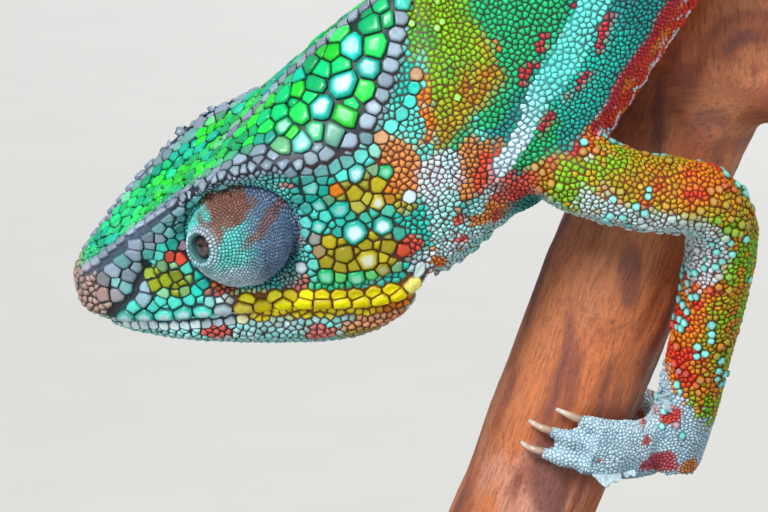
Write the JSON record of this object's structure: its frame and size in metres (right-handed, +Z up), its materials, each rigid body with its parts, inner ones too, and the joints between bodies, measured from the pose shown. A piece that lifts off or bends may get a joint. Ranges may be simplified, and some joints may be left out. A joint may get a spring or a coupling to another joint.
{
  "type": "chameleon",
  "caption": "Panther chameleon climbing head first down a short branch, tail and feet wrapped round it, held over a flat display base by a short rod.",
  "frame": {"origin": "centre of the stand base's underside", "axes": "+Z up, the head points towards -X and the animal's left side faces -Y"},
  "size_m": [0.2056, 0.112, 0.2462],
  "materials": {
    "head_skin": "scaly, emerald and turquoise plates with lilac-grey crests and a yellow lip",
    "eyelid_skin": "finely granular, blue-grey with a rust patch",
    "eyeball": "wet gloss",
    "body_skin": "scaly, green and teal bars with a pale blue side stripe and red flecks",
    "foot_skin": "fine bluish-white granules",
    "claw": "horn, slightly clear",
    "bark": "smooth, barkless",
    "base": "black satin lacquer",
    "rod": "satin"
  },
  "bodies": {
    "root": {"branch": "bark", "eyeball_left": "eyeball", "eyeball_right": "eyeball", "eyelid_left": "eyelid_skin", "eyelid_right": "eyelid_skin", "forefoot_left": "foot_skin", "forefoot_left_claw_1": "claw", "forefoot_left_claw_2": "claw", "forefoot_left_claw_3": "claw", "forefoot_left_claw_4": "claw", "forefoot_left_claw_5": "claw", "forefoot_right": "foot_skin", "forefoot_right_claw_1": "claw", "forefoot_right_claw_2": "claw", "forefoot_right_claw_3": "claw", "forefoot_right_claw_4": "claw", "forefoot_right_claw_5": "claw", "foreleg_lower_left": "body_skin", "foreleg_lower_right": "body_skin", "foreleg_upper_left": "body_skin", "foreleg_upper_right": "body_skin", "head": "head_skin", "hindfoot_left": "foot_skin", "hindfoot_left_claw_1": "claw", "hindfoot_left_claw_2": "claw", "hindfoot_left_claw_3": "claw", "hindfoot_left_claw_4": "claw", "hindfoot_left_claw_5": "claw", "hindfoot_right": "foot_skin", "hindfoot_right_claw_1": "claw", "hindfoot_right_claw_2": "claw", "hindfoot_right_claw_3": "claw", "hindfoot_right_claw_4": "claw", "hindfoot_right_claw_5": "claw", "hindleg_shank_left": "body_skin", "hindleg_shank_right": "body_skin", "hindleg_thigh_left": "body_skin", "hindleg_thigh_right": "body_skin", "lower_jaw": "head_skin", "neck": "body_skin", "stand_base": "base", "stand_collar": "rod", "stand_rod": "rod", "tail_1": "body_skin", "tail_2": "body_skin", "tail_3": "body_skin", "tail_4": "body_skin", "tail_5": "body_skin", "tail_6": "body_skin", "trunk_front": "body_skin", "trunk_middle": "body_skin", "trunk_rear": "body_skin"}
  },
  "joints": []
}
